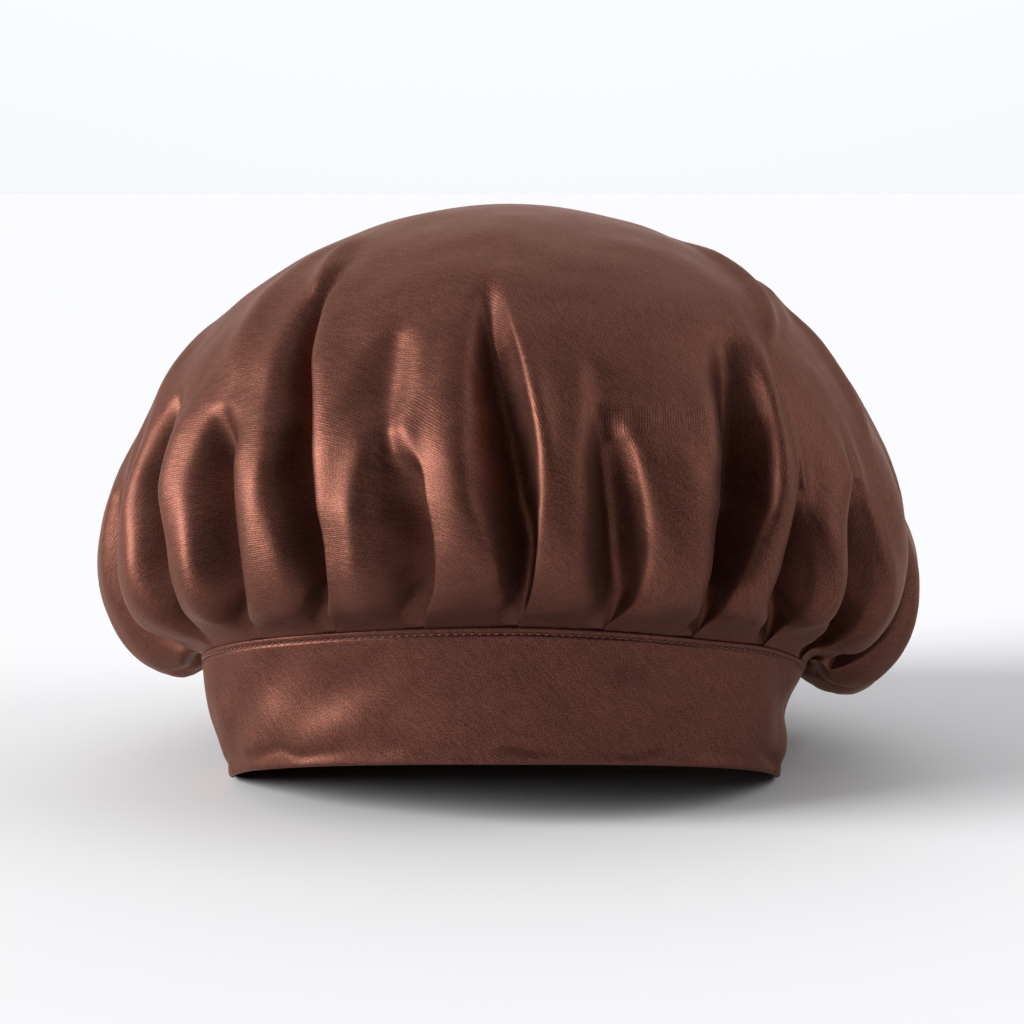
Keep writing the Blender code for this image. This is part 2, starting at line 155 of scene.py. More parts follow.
# The section across one panel, from one fold edge round to under the next
STATIONS = (
    # end: 0 measures from this edge over the flat part, 1 back from the next edge over its hollow;
    # part: of that width, for a soft roll and for a pressed edge; then the shares of lap, depth and ridge there
    ("end", "part", "pressed_part", "lap", "depth", "pressed_depth", "ridge"),
    (0, .00, .00, .00, .00, .00, .66),
    (0, .25, .06, .00, .00, .00, 1.0),
    (0, .50, .30, .00, .00, .00, .86),
    (0, .78, .72, .00, .00, .00, .40),
    (1, 1.0, 1.0, .00, .03, .03, .00),
    (1, .84, .82, .00, .22, .22, .00),
    (1, .68, .60, .00, .60, .60, .00),
    (1, .50, .34, .15, 1.0, .90, .00),
    (1, .31, .10, .60, .84, 1.0, .05),
    (1, .15, .00, 1.0, .44, .80, .20),
    (1, .00, .00, .30, .14, .04, .30),
)

# Soft creases that run on over the crown. A negative depth is a raised crease.
CREASES = (
    # from_angle, from_share, to_angle, to_share; wide of CREASE_WIDTH; depth of CREASE_DEPTH
    ("from_angle", "from_share", "to_angle", "to_share", "wide", "depth"),
    (-16.5, .38, -19, .58, 1.0, 1.0),
    (14.5, .40, 12.5, .52, .80, .62),
    (28, .36, 30, .52, .90, -.50),
    (-37.5, .62, -60, .80, .55, -.75),
    (-46, .48, -70, .78, .80, -.50),
    (50, .56, 86, .80, .55, -.95),
    (58, .58, 100, .76, .50, -.50),
    (66, .42, 78, .66, .65, -.62),
    (-66, .42, -84, .62, .80, -.50),
    (-98, .30, -84, .52, 1.5, 1.5),
    (82, .36, 98, .52, 1.5, .70),
)


def column(table, name):
    return np.array([row[table[0].index(name)] for row in table[1:]], float)


def smooth(x):
    x = np.clip(x, 0, 1)
    return x * x * (3 - 2 * x)


def by_angle(phi, name):
    angles = column(SECTIONS, "angle")
    values = column(SECTIONS, name)
    angles = np.append(angles, angles[0] + 360)
    values = np.append(values, values[0])
    turn = np.degrees(phi) % 360
    i = np.clip(np.searchsorted(angles, turn, side="right") - 1, 0, len(angles) - 2)
    t = smooth((turn - angles[i]) / (angles[i + 1] - angles[i]))
    return values[i] * (1 - t) + values[i + 1] * t


def lifted(phi):
    # Nothing over the back half, then rising evenly to the front middle
    c = np.cos(phi)
    k = LIFT_BLEND
    return BAND_LIFT * np.where(c < -k, 0, np.where(c > k, c, (c + k) ** 2 / (4 * k)))


def seam_loop(phi):
    c = np.cos(phi)
    deep = np.where(c > 0, SEAM_FRONT, SEAM_BACK)
    x = BAND_ASIDE + SEAM_WIDTH / 2 * np.sin(phi)
    z = lifted(phi) + BAND_HEIGHT * by_angle(phi, "rise")
    return np.stack([x, BAND_FORWARD - deep * c, z], -1)


def crown_form(phi, v):
    # The crown without its folds: v is 0 at the seam and 1 at the apex
    phi, v = np.broadcast_arrays(np.asarray(phi, float), np.asarray(v, float))
    start = seam_loop(phi)
    start[..., 2] += SEAM_GAP
    wide_x = CROWN_WIDTH / 2 * np.sin(phi)
    wide_y = -CROWN_DEPTH / 2 * np.cos(phi)
    wide = np.stack([wide_x, wide_y, CROWN_TOP * by_angle(phi, "belly")], -1)
    apex = np.array([0, APEX_BACK, CROWN_TOP])
    share = by_angle(phi, "share")
    leave = start + (wide - start) * by_angle(phi, "reach")[..., None]
    leave[..., 2] = start[..., 2] - BAND_HEIGHT * by_angle(phi, "drop")
    below = wide.copy()
    below[..., 2] -= by_angle(phi, "hang") * HANG_REACH
    t = np.clip(v / share, 0, 1)[..., None]
    lower = (1 - t) ** 3 * start + 3 * (1 - t) ** 2 * t * leave + 3 * (1 - t) * t * t * below + t ** 3 * wide
    # A low arch lifts the hanging part clear of the band as it leaves the seam
    x = np.clip(v / ARCH_RUN, 0, 1)
    hanging = smooth((by_angle(phi, "hang") - .5) / .5)
    lower[..., 2] += ARCH * hanging * 4 * x * (1 - x)
    turn = np.clip((v - share) / (1 - share), 0, 1) * np.pi / 2
    upper = apex + (wide - apex) * (np.clip(np.cos(turn), 0, 1) ** DOME_CURVE)[..., None]
    upper[..., 2] = wide[..., 2] + (apex[2] - wide[..., 2]) * np.sin(turn)
    return np.where((v < share)[..., None], lower, upper)


def fold_edges(v):
    # Each fold edge's angle at every height, as a smooth curve through the table's angles
    knots = np.array(EDGE_SHARES, float)
    names = ("seam", "low", "mid", "high", "high")
    values = np.stack([column(FOLDS, name) for name in names], 1)
    step = np.diff(knots)
    slope = np.diff(values, axis=1) / step
    lean = np.zeros_like(values)
    lean[:, 0] = slope[:, 0]
    lean[:, 1:-1] = (slope[:, :-1] * step[1:] + slope[:, 1:] * step[:-1]) / (step[1:] + step[:-1])
    i = np.clip(np.searchsorted(knots, v, side="right") - 1, 0, len(knots) - 2)
    t = (v - knots[i]) / step[i]
    ends = (2 * t ** 3 - 3 * t ** 2 + 1) * values[:, i] + (3 * t ** 2 - 2 * t ** 3) * values[:, i + 1]
    leans = (t ** 3 - 2 * t ** 2 + t) * lean[:, i] + (t ** 3 - t ** 2) * lean[:, i + 1]
    return ends + leans * step[i]


def crease_heights(phi, v):
    point = crown_form(phi, v)
    total = np.zeros(phi.shape)
    for row in CREASES[1:]:
        angle_a, share_a, angle_b, share_b, wide, depth = row
        s = np.linspace(0, 1, CREASE_STEPS + 1)
        line = crown_form(np.radians(angle_a + (angle_b - angle_a) * s), share_a + (share_b - share_a) * s)
        nearest = np.full(phi.shape, 1e9)
        along = np.zeros(phi.shape)
        for k in range(len(s) - 1):
            step = line[k + 1] - line[k]
            t = np.clip(((point - line[k]) @ step) / (step @ step), 0, 1)
            gap = np.linalg.norm(point - line[k] - t[..., None] * step, axis=-1)
            along = np.where(gap < nearest, (k + t) / (len(s) - 1), along)
            nearest = np.minimum(gap, nearest)
        fade = np.sin(np.pi * np.clip(along, .02, .98))
        width = CREASE_WIDTH * wide * (CREASE_ENDS + (1 - CREASE_ENDS) * fade)
        total -= CREASE_DEPTH * depth * fade ** CREASE_CURVE * np.exp(-(nearest / width) ** 2)
    return total


def crown_sheet(rows, picks, lap_share):
    # A grid of points (columns round the crown, rows from the seam up) on the outside of the folded cloth
    v = np.asarray(rows, float)
    edge = fold_edges(v)
    following = np.roll(edge, -1, axis=0)
    following[-1] += 360
    pitch = following - edge
    fold = {name: column(FOLDS, name)[:, None] for name in FOLDS[0]}
    after = {name: np.roll(values, -1, axis=0) for name, values in fold.items()}

    def ridge_of(f):
        grow = smooth((v / f["peak"] - RIDGE_START) / (1 - RIDGE_START))
        fade = 1 - smooth((v - f["peak"]) / (f["tip"] - f["peak"]) / RIDGE_TAIL)
        return PLEAT_RIDGE * f["ridge"] * grow * fade

    def pressed_of(f):
        return 1 - smooth((v - f["press"]) / PRESS_RUN + .5)

    # Over its top a hollow narrows: to a point under its edge, or to the middle of its own round top
    over = np.clip((v - after["peak"]) / (after["tip"] - after["peak"]), 0, 1)
    narrow = 1 - over ** 2 * POINT_NARROW * (1 - after["round"])
    narrow = narrow - (1 - np.sqrt(1 - over ** 2)) * ROUND_NARROW * after["round"]
    fade = (1 - smooth(over)) * (1 - after["round"]) + (1 - over ** 4) ** 1.5 * after["round"]
    rise = np.clip(v / after["peak"], 0, 1)
    sewn = SEWN_DEPTH + (1 - SEWN_DEPTH) * smooth(v / SEWN_RUN)
    deepening = LEAST_DEPTH + (1 - LEAST_DEPTH) * (1 - (1 - rise) ** DEPTH_CURVE)
    deep = PLEAT_DEPTH * after["depth"] * sewn * deepening * fade
    past = (v - after["press"]) / (after["tip"] - after["press"])
    tuck = PLEAT_LAP * after["lap"] * lap_share * (1 + smooth(v / SEWN_RUN)) / 2 * (1 - smooth(past * 2))
    hollow = after["wide"] * (HOLLOW_START + (1 - HOLLOW_START) * smooth(v / after["peak"]))
    centre = .5 * after["round"]
    opening = smooth((v - after["tip"]) / OPEN_RUN + OPEN_START)
    opened = np.roll(opening, 1, axis=0)
    doming = PUFF * smooth(v / DOME_RUN) * (1 - smooth((v - DOME_RUN) / DOME_FADE))
    count = len(STATIONS) - 1
    turns, tucks, heights = [], [], []
    for k, (end, part, pressed_part, lap, depth, pressed_depth, ridge) in enumerate(STATIONS[1:]):
        # Where a fold has faded, its stations spread evenly over the panel
        if end == 0:
            pressed = pressed_of(fold)
            crest = ridge_of(fold)
            place = (1 - hollow) * (part + (pressed_part - part) * pressed)
            place = place * (1 - opened) + k / count * opened
        else:
            pressed = pressed_of(after)
            crest = ridge_of(after)
            part = part ** (1 + LEAN * (1 - after["round"]) * (1 - over))
            part = part + (pressed_part - part) * pressed
            place = 1 - hollow * (centre + (part - centre) * narrow)
            place = place * (1 - opening) + k / count * opening
        sunk = depth + (pressed_depth - depth) * pressed
        turns.append(edge + pitch * place)
        tucks.append(tuck * lap)
        heights.append(crest * ridge - deep * sunk + doming * np.sin(np.pi * place) * (1 - sunk))

    def round_the_crown(parts, whole_turn):
        # A closed smooth curve pulled towards the stations, read at the picked places in every panel
        values = np.stack(parts, 1).reshape(-1, len(v))
        values = np.concatenate([values[-1:] - whole_turn, values, values[:3] + whole_turn])
        found = []
        for panel in range(len(FOLDS) - 1):
            for pick in picks:
                k = int(pick)
                s = pick - k
                k += panel * count
                weights = (
                    (1 - s) ** 3,
                    3 * s ** 3 - 6 * s ** 2 + 4,
                    3 * s + 3 * s ** 2 - 3 * s ** 3 + 1,
                    s ** 3,
                )
                found.append(sum(w / 6 * values[k + j] for j, w in enumerate(weights)))
        return np.stack(found)

    phi = np.radians(round_the_crown(turns, 360))
    tuck = round_the_crown(tucks, 0)
    height = round_the_crown(heights, 0)
    share = np.broadcast_to(v, phi.shape)
    point = crown_form(phi, share)
    small = 1e-3
    round_way = crown_form(phi + small, share) - crown_form(phi - small, share)
    up_way = crown_form(phi, np.clip(share + small, 0, 1)) - crown_form(phi, np.clip(share - small, 0, 1))
    outward = np.cross(round_way, up_way)
    outward /= np.linalg.norm(outward, axis=-1, keepdims=True)
    round_way /= np.linalg.norm(round_way, axis=-1, keepdims=True)
    # At the seam the folds lie flat, so there they move level with the floor instead of along the slope
    level = outward * (1, 1, 0)
    level /= np.linalg.norm(level, axis=-1, keepdims=True)
    blend = smooth(share / LEVEL_RUN)[..., None]
    outward = level * (1 - blend) + outward * blend
    outward /= np.linalg.norm(outward, axis=-1, keepdims=True)
    height = height + crease_heights(phi, share)
    return point + outward * height[..., None] + round_way * tuck[..., None]


def band_side(phi, level, inward):
    # A point of the band: level is 0 at the foot and 1 at the seam
    top = seam_loop(phi)
    middle = np.array([BAND_ASIDE, BAND_FORWARD, 0])
    foot = middle + (top - middle) * by_angle(phi, "spread")[..., None]
    foot[..., 2] = lifted(phi)
    level = level + 0 * phi
    point = foot + (top - foot) * level[..., None]
    c, s = np.cos(phi), np.sin(phi)
    deep = np.where(c > 0, SEAM_FRONT, SEAM_BACK)
    away = np.stack([s / (SEAM_WIDTH / 2), -c / deep, 0 * c], -1)
    away /= np.linalg.norm(away, axis=-1, keepdims=True)
    bulge = BAND_HEIGHT * by_angle(phi, "bulge") * np.sin(np.pi * level)
    return point + away * (bulge - inward)[..., None]


# How finely the cloth is made, and how finely the solid is
CROWN_ROWS = np.concatenate([np.linspace(0, .70, 122)[:-1], np.linspace(.70, .985, 26)])
PANEL_PICKS = np.arange(0, 11, .44)
BAND_COLUMNS = 660
SOLID_ROWS = (0, .010, .026, .048, .078, .115, .16, .21, .265, .325, .39, .46, .54, .63, .735, .85, .95)
SOLID_PICKS = (1.0, 2.9, 4.7, 6.2, 7.5, 8.7)
SOLID_LAP = .25        # of a fold's lap, kept in the solid

# Satin: how metal-like and shiny it is, and its lowest and highest roughness
METAL = .78
SPECULAR = .25
SPECULAR_TINT = (1, .72, .62, 1)
SHEEN = .05
SHEEN_ROUGH = .4
SHEEN_TINT = (.95, .80, .76, 1)
ROUGH = (.44, .51)

# Colours, and the twill's turn on the flat cloth in degrees
CROWN_COLOUR = (.120, .045, .031)
BAND_COLOUR = (.116, .043, .030)
THREAD_COLOUR = (.150, .058, .042, 1)
CROWN_TWILL_TURN = 50
BAND_TWILL_TURN = -42

# How much each pattern of the weave darkens and lightens the colour, and lowers the relief
TWILL_SHADE = (.77, 1.17)
SLUB_SHADE = (.85, 1.15)
GRAIN_SHADE = (.60, 1.36)
UNEVEN_SHADE = (.94, 1.06)
TWILL_RELIEF = (.5, 1)
SLUB_RELIEF = (.4, 1)
GRAIN_RELIEF = (.6, 1)
WAVE_RANGE = (0, 1)     # the part of a pattern's values that is used
NOISE_RANGE = (.3, .7)
RELIEF_STRENGTH = .8
RELIEF_OF_TWILL = .11

# Weave
TWILL = 0.00085
SLUB = 0.0014
GRAIN = 0.0006
UNEVEN = 0.014
CLOTH_RADIUS = 0.290  # the crown's flat cut is a round piece

# Sewing
TUCK_DOWN = 0.0030    # how far the crown's edge runs down inside the band
TUCK_IN = 0.0012
WELT_HEIGHT = 0.0021  # the raised edge between the seam and the topstitching
WELT_PROUD = 0.00006
WELT_ROUND = 0.0002
GROOVE_DEPTH = 0.0005
HEM_HEIGHT = 0.0052   # where the turned-up hem ends inside the band
HEM_DEPTH = 0.0009
BAND_WAIST = 0.0014   # how far the band draws in between its two sewn edges
EDGE_ROUND = 0.0012   # the band's lower fold
STITCH = 0.0020
STITCH_PITCH = 0.0027
THREAD = 0.00055
WRINKLE = 0.0011

# Low swells of the crown's cloth. Heading in degrees on the flat cut; length of one wave; its height;
# where it starts, and how much it bends, in radians
SWELLS = (
    ("heading", "length", "height", "start", "bend"),
    (12, .0370, .00012, 0.4, 1.5),
    (68, .0430, .00012, 1.3, 1.7),
    (121, .0310, .00010, 2.1, 1.4),
    (155, .0230, .00006, 0.7, 1.6),
    (38, .0175, .00004, 4.0, 1.3),
)
BEND_LENGTH = 2.3      # a swell's own bend is this many times as long as its wave

# Soft gathers that run up from the seam. Count round the crown; height; where they start, and how far they
# turn on their way up, in radians
GATHERS = (
    ("count", "height", "start", "turn"),
    (26, .00040, 0.3, 3.0),
    (37, .00034, 2.0, -4.0),
    (53, .00020, 1.1, 5.0),
    (71, .00011, 3.9, -3.0),
)

# Pinches and swells of the band. Angle; level: 0 at the foot, 1 at the seam; wide in degrees; tall in level;
# depth of BAND_THICK, less than nothing for a swell
BAND_DENTS = (
    ("angle", "level", "wide", "tall", "depth"),
    (82, .62, 8, .16, .95),
    (80, .24, 14, .20, -.85),
    (70, .30, 7, .30, .25),
    (52, .40, 9, .22, -.30),
    (-84, .45, 8, .25, -.35),
    (-66, .30, 6, .40, .35),
    (-52, .28, 12, .22, -.40),
    (-30, .26, 16, .16, -.40),
    (-30, .62, 14, .20, .40),
    (-8, .25, 12, .14, .25),
    (20, .55, 12, .20, -.25),
)


def solid_middle():
    # The solids are centred on their box, and the looks are moved by the same amount
    low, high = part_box("crown")
    sheet = crown_sheet(SOLID_ROWS, SOLID_PICKS, SOLID_LAP).reshape(-1, 3)
    return np.array([(sheet[:, 0].min() + sheet[:, 0].max() - low[0] - high[0]) / 2,
                     (sheet[:, 1].min() + sheet[:, 1].max() - low[1] - high[1]) / 2, 0])


def mesh_piece(name, points, faces, material, uvs=None):
    mesh = bpy.data.meshes.new(name)
    mesh.from_pydata(points.tolist(), [], faces)
    if uvs is not None:
        layer = mesh.uv_layers.new(name="cloth")
        layer.data.foreach_set("uv", np.asarray(uvs, np.float32).ravel())
    mesh.update()
    mesh.shade_smooth()
    mesh.materials.append(material)
    piece = bpy.data.objects.new(name, mesh)
    bpy.context.scene.collection.objects.link(piece)
    return piece


def closed_grid_faces(columns, rows, wrap_rows=False):
    i, k = np.meshgrid(np.arange(columns), np.arange(rows if wrap_rows else rows - 1), indexing="ij")
    j, m = (i + 1) % columns, (k + 1) % rows
    quads = np.stack([i * rows + k, j * rows + k, j * rows + m, i * rows + m], -1)
    return quads.reshape(-1, 4)


def grid_uvs(u, v, quads, rows, columns, width, height):
    # One value for each face corner; the faces that close the grid run on past its end instead of back
    corner = quads.ravel()
    col, row = corner // rows, corner % rows
    last_col = np.repeat(quads[:, 0] // rows, 4) == columns - 1
    last_row = np.repeat(quads[:, 0] % rows, 4) == rows - 1
    across = u[col, row] + (last_col & (col == 0)) * width
    along = v[col, row] + (last_row & (row == 0)) * height
    return np.stack([across, along], -1)


def satin(name, colour, twill_turn):
    # Woven satin: fine diagonal twill over a soft, slightly uneven thread. The cloth's own flat metres are
    # its map.
    mat = bpy.data.materials.new(name)
    mat.use_nodes = True
    tree = mat.node_tree
    link = tree.links.new
    shader = tree.nodes["Principled BSDF"]
    shader.inputs["Metallic"].default_value = METAL
    shader.inputs["Specular IOR Level"].default_value = SPECULAR
    shader.inputs["Specular Tint"].default_value = SPECULAR_TINT
    shader.inputs["Sheen Weight"].default_value = SHEEN
    shader.inputs["Sheen Roughness"].default_value = SHEEN_ROUGH
    shader.inputs["Sheen Tint"].default_value = SHEEN_TINT

    cloth = tree.nodes.new("ShaderNodeUVMap")
    cloth.uv_map = "cloth"
    turned = tree.nodes.new("ShaderNodeMapping")
    turned.inputs["Rotation"].default_value[2] = math.radians(twill_turn)
    link(cloth.outputs["UV"], turned.inputs["Vector"])

    twill = tree.nodes.new("ShaderNodeTexWave")
    twill.wave_type = "BANDS"
    twill.bands_direction = "X"
    twill.inputs["Scale"].default_value = math.pi / 10 / TWILL
    twill.inputs["Distortion"].default_value = .4
    twill.inputs["Detail"].default_value = 1
    twill.inputs["Detail Scale"].default_value = 3
    link(turned.outputs["Vector"], twill.inputs["Vector"])

    stretch = tree.nodes.new("ShaderNodeMapping")
    stretch.inputs["Scale"].default_value = (1, .25, 1)
    link(turned.outputs["Vector"], stretch.inputs["Vector"])
    slub = tree.nodes.new("ShaderNodeTexNoise")
    slub.inputs["Scale"].default_value = 1 / SLUB
    slub.inputs["Detail"].default_value = 2
    link(stretch.outputs["Vector"], slub.inputs["Vector"])

    grain = tree.nodes.new("ShaderNodeTexNoise")
    grain.inputs["Scale"].default_value = 1 / GRAIN
    grain.inputs["Detail"].default_value = 1
    link(cloth.outputs["UV"], grain.inputs["Vector"])

    uneven = tree.nodes.new("ShaderNodeTexNoise")
    uneven.inputs["Scale"].default_value = 1 / UNEVEN
    uneven.inputs["Detail"].default_value = 2
    link(cloth.outputs["UV"], uneven.inputs["Vector"])

    def blend(texture, used, ends):
        # A value that runs between two numbers as the texture does
        node = tree.nodes.new("ShaderNodeMapRange")
        node.inputs["From Min"].default_value = used[0]
        node.inputs["From Max"].default_value = used[1]
        node.inputs["To Min"].default_value = ends[0]
        node.inputs["To Max"].default_value = ends[1]
        link(texture.outputs["Fac"], node.inputs["Value"])
        return node.outputs["Result"]

    def multiply(a, b):
        node = tree.nodes.new("ShaderNodeMath")
        node.operation = "MULTIPLY"
        link(a, node.inputs[0])
        link(b, node.inputs[1])
        return node.outputs["Value"]

    shade = multiply(blend(twill, WAVE_RANGE, TWILL_SHADE), blend(slub, NOISE_RANGE, SLUB_SHADE))
    shade = multiply(shade, blend(grain, NOISE_RANGE, GRAIN_SHADE))
    shade = multiply(shade, blend(uneven, NOISE_RANGE, UNEVEN_SHADE))
    tint = tree.nodes.new("ShaderNodeVectorMath")
    tint.operation = "SCALE"
    tint.inputs[0].default_value = colour
    link(shade, tint.inputs["Scale"])
    link(tint.outputs["Vector"], shader.inputs["Base Color"])
    link(blend(uneven, NOISE_RANGE, ROUGH), shader.inputs["Roughness"])

    bump = tree.nodes.new("ShaderNodeBump")
    bump.inputs["Strength"].default_value = RELIEF_STRENGTH
    bump.inputs["Distance"].default_value = TWILL * RELIEF_OF_TWILL
    woven = multiply(blend(twill, WAVE_RANGE, TWILL_RELIEF), blend(grain, NOISE_RANGE, GRAIN_RELIEF))
    link(multiply(woven, blend(slub, NOISE_RANGE, SLUB_RELIEF)), bump.inputs["Height"])
    link(bump.outputs["Normal"], shader.inputs["Normal"])
    return mat


def plain_thread(name, colour):
    mat = bpy.data.materials.new(name)
    mat.use_nodes = True
    shader = mat.node_tree.nodes["Principled BSDF"]
    shader.inputs["Base Color"].default_value = colour
    shader.inputs["Roughness"].default_value = .5
    shader.inputs["Metallic"].default_value = .3
    shader.inputs["Sheen Weight"].default_value = .1
    return mat


def make_crown(middle, material):
    # The folded sheet, closed at the apex by a small fan, with its sewn edge turned down inside the band
    sheet = crown_sheet(CROWN_ROWS, PANEL_PICKS, 1)
    into = np.array([BAND_ASIDE, BAND_FORWARD, 0]) - sheet[:, 0] * (1, 1, 0)
    into /= np.linalg.norm(into, axis=-1, keepdims=True)
    turned = [
        sheet[:, 0] + into * TUCK_IN * inward - (0, 0, TUCK_DOWN * down)
        for inward, down in ((1, 1), (.9, .4), (.55, .1))
    ]
    rows_at = np.concatenate([[-.010, -.004, -.001], CROWN_ROWS])
    sheet = np.concatenate([np.stack(turned, 1), sheet], 1) - middle
    round_way = np.roll(sheet, -1, axis=0) - np.roll(sheet, 1, axis=0)
    outward = np.cross(round_way, np.gradient(sheet, axis=1))
    outward /= np.linalg.norm(outward, axis=-1, keepdims=True)
    free = smooth((rows_at - .02) / .10) * (1 - smooth((rows_at - .85) / .12))
    turn = np.arctan2(sheet[..., 0], -sheet[..., 1])
    gathers = sum(
        high * np.sin(count * turn + start + bend * rows_at) for count, high, start, bend in GATHERS[1:]
    )
    low = gathers * (1 - smooth((rows_at - .30) / .35)) + uneven_cloth(flat_crown(sheet, rows_at))
    sheet = sheet + outward * (low * free)[..., None]
    columns, rows, _ = sheet.shape
    apex = np.array([0, APEX_BACK, CROWN_TOP]) - middle
    points = np.concatenate([sheet.reshape(-1, 3), [apex]])
    quads = closed_grid_faces(columns, rows)
    faces = quads.tolist()
    for i in range(columns):
        faces.append((i * rows + rows - 1, ((i + 1) % columns) * rows + rows - 1, columns * rows))
    uv = np.concatenate([flat_crown(sheet, rows_at).reshape(-1, 2), [(0, 0)]])
    corners = np.concatenate([quads.ravel(), np.array(faces[len(quads):]).ravel()])
    return mesh_piece("crown_cloth", points, faces, material, uv[corners])


def uneven_cloth(flat):
    # Low soft swells that any hanging cloth has, as heights over its flat cut
    height = np.zeros(flat.shape[:-1])
    for heading, length, high, start, bend in SWELLS[1:]:
        way = np.array([math.cos(math.radians(heading)), math.sin(math.radians(heading))])
        along, across = flat @ way, flat @ (way[::-1] * (-1, 1))
        bent = bend * np.sin(2 * np.pi * across / length / BEND_LENGTH)
        height += high * np.sin(2 * np.pi * along / length + start + bent)
    return height


def flat_crown(sheet, rows):
    # Where each point lies on the round flat cut: its turn is its share of the way round its own row
    step = np.linalg.norm(np.roll(sheet, -1, axis=0) - sheet, axis=-1)
    turn = (np.cumsum(step, axis=0) - step) / step.sum(0) * 2 * np.pi
    radius = CLOTH_RADIUS * (1 - np.asarray(rows))
    return np.stack([radius * np.sin(turn), -radius * np.cos(turn)], -1)


def waves(turn, seeds):
    # A soft uneven line round the band, between about -1 and 1
    total = 0 * turn
    for count, start, share in seeds:
        total = total + share * np.sin(count * turn + start)
    return total


def band_relief(phi, height):
    # How far the outer cloth stands proud of the plain band, at a height above its lower fold
    top = BAND_HEIGHT * by_angle(phi, "rise")
    below = top - height
    welt = WELT_PROUD * np.clip(1 - ((below - WELT_HEIGHT / 2) / (WELT_HEIGHT / 2)) ** 2, 0, 1)
    groove = GROOVE_DEPTH * np.exp(-((below - WELT_HEIGHT) / .0006) ** 2)
    # The hem pulls a wavering line into the cloth
    line = HEM_HEIGHT + .0016 * waves(phi, ((13, .4, .5), (23, 1.9, .4), (37, .8, .25)))
    pull = .55 + .45 * waves(phi, ((9, 2.2, .6), (17, .3, .4)))
    hem = HEM_DEPTH * pull * np.exp(-((height - line) / .0022) ** 2)
    middle_part = np.sin(np.pi * np.clip(height / top, 0, 1))
    slow = waves(phi + 9 * height, ((5, .3, .45), (11, 1.1, .35), (19, 2.3, .2)))
    slow = slow + .5 * waves(phi - 14 * height, ((7, 2.0, .5), (16, .5, .5)))
    dents = 0 * height
    for angle, level, wide, tall, depth in BAND_DENTS[1:]:
        off = (np.degrees(phi) - angle + 180) % 360 - 180
        dents = dents - depth * BAND_THICK * np.exp(-(off / wide) ** 2 - ((height / top - level) / tall) ** 2)
    waist = BAND_WAIST * middle_part * (1 + .5 * waves(phi, ((2, 2.6, .6), (3, .4, .4))))
    return welt - groove - hem - waist + WRINKLE * slow * middle_part + dents


def band_outer(phi, height):
    # The band's outer face: it turns in round the lower fold and again at the seam
    top = BAND_HEIGHT * by_angle(phi, "rise")
    inward = -band_relief(phi, height)
    turn_in = np.clip(1 - height / EDGE_ROUND, 0, 1)
    inward = inward + EDGE_ROUND * (1 - np.sqrt(1 - turn_in ** 2))
    top_in = np.clip(1 - (top - height) / (WELT_HEIGHT / 2), 0, 1)
    inward = inward + WELT_ROUND * (1 - np.sqrt(1 - top_in ** 2))
    return band_side(phi, height / top, inward)


def band_heights(top):
    # Heights of the rows on the outer face, close together where the cloth turns or is sewn
    low = EDGE_ROUND * (1 - np.cos(np.linspace(0, np.pi / 2, 6)))
    hem = np.linspace(EDGE_ROUND, .011, 15)[1:]
    sewn = np.linspace(.0052, 0, 22)
    plain = np.linspace(0, 1, 22)[1:-1]
    rows = [h + 0 * top for h in np.concatenate([low, hem])]
    rows += [.011 + (top - .0052 - .011) * share for share in plain]
    rows += [top - below for below in sewn]
    return rows


def make_band(middle, material):
    phi = np.arange(BAND_COLUMNS) * 2 * np.pi / BAND_COLUMNS
    top = BAND_HEIGHT * by_angle(phi, "rise")
    outer = [band_outer(phi, height) for height in band_heights(top)]
    inner = [
        band_side(phi, level, BAND_THICK - band_relief(phi, level * top)) for level in np.linspace(1, .02, 24)
    ]
    grid = np.stack(outer + inner, 1) - middle
    columns, rows, _ = grid.shape
    quads = closed_grid_faces(columns, rows, wrap_rows=True)
    around = np.linalg.norm(np.roll(grid, -1, axis=0) - grid, axis=-1)[:, len(outer) - 1]
    u = np.repeat((np.cumsum(around) - around)[:, None], rows, axis=1)
    up = np.linalg.norm(np.roll(grid, -1, axis=1) - grid, axis=-1)[0]
    v = np.repeat((np.cumsum(up) - up)[None, :], columns, axis=0)
    uv = grid_uvs(u, v, quads, rows, columns, around.sum(), up.sum())
    return mesh_piece("band_cloth", grid.reshape(-1, 3), quads.tolist(), material, uv)


